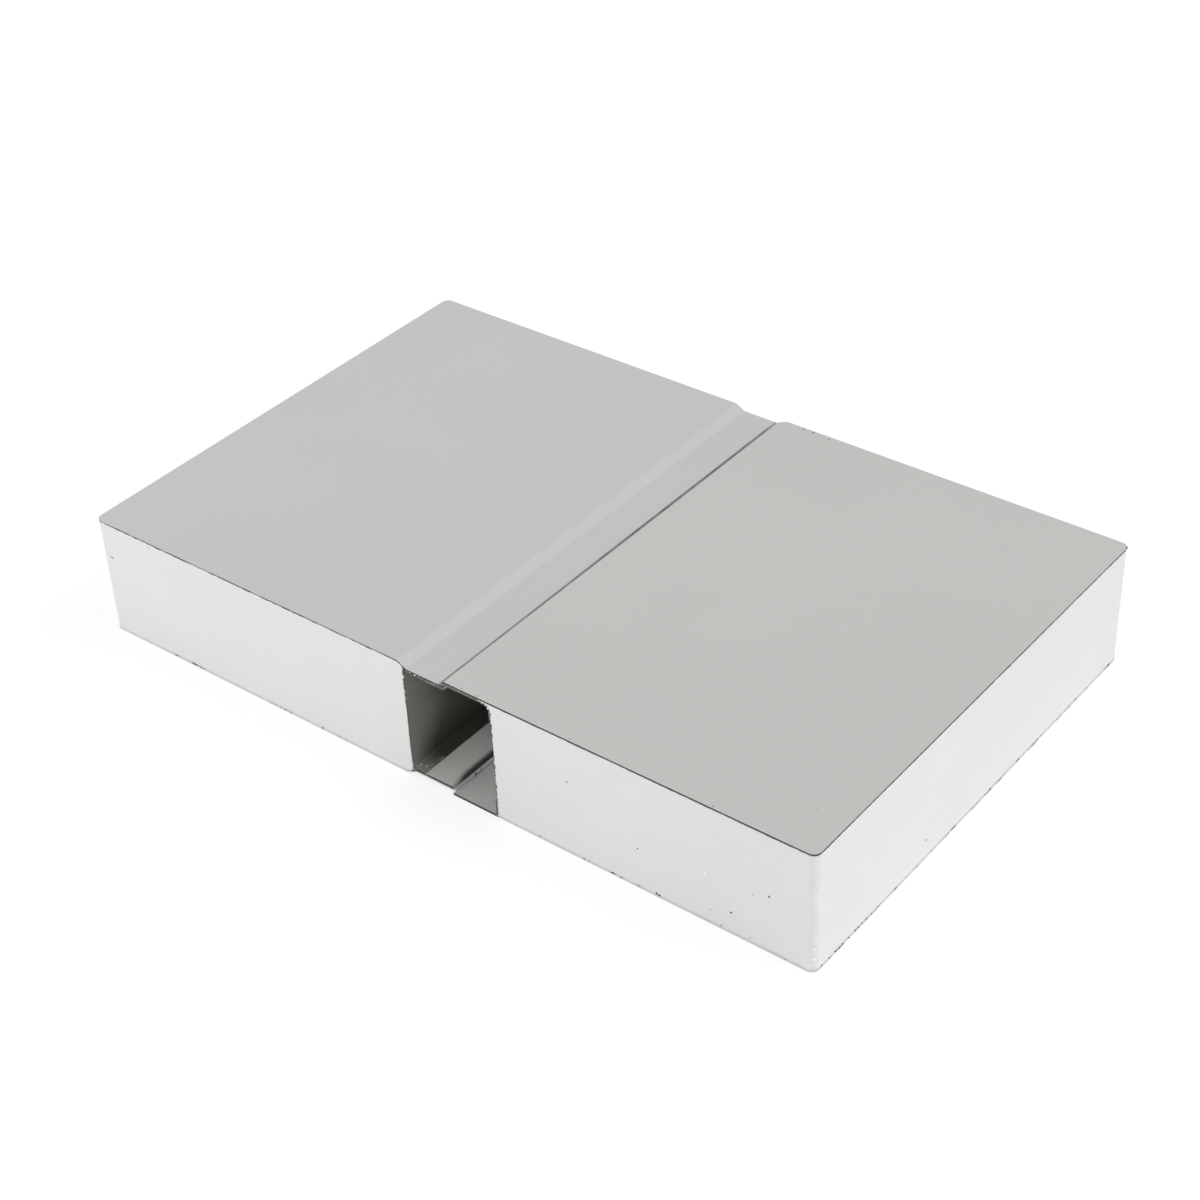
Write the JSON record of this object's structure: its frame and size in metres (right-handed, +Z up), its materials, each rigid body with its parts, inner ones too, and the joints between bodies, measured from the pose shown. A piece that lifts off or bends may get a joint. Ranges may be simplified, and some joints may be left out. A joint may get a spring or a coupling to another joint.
{
  "type": "insulated sandwich panel",
  "caption": "Cut sample of an insulated sandwich panel: painted metal skins on a foam core, with the formed edges of adjoining lengths meeting over a hollow joint.",
  "frame": {"origin": "middle of the underside", "axes": "+X along the sample, from the tongue length towards the groove length; +Y across its cut width; +Z up, through its thickness"},
  "size_m": [0.32, 0.2, 0.05],
  "materials": {
    "painted_skin": "satin pale grey coil coating",
    "foam": "matt white expanded polystyrene, cut faces",
    "channel": "matt mid grey back coat"
  },
  "bodies": {
    "root": {"left_core": "foam", "left_top_skin": "painted_skin", "left_bottom_skin": "painted_skin", "edge_channel": "channel", "right_core": "foam", "right_top_skin": "painted_skin", "right_bottom_skin": "painted_skin"}
  },
  "joints": []
}
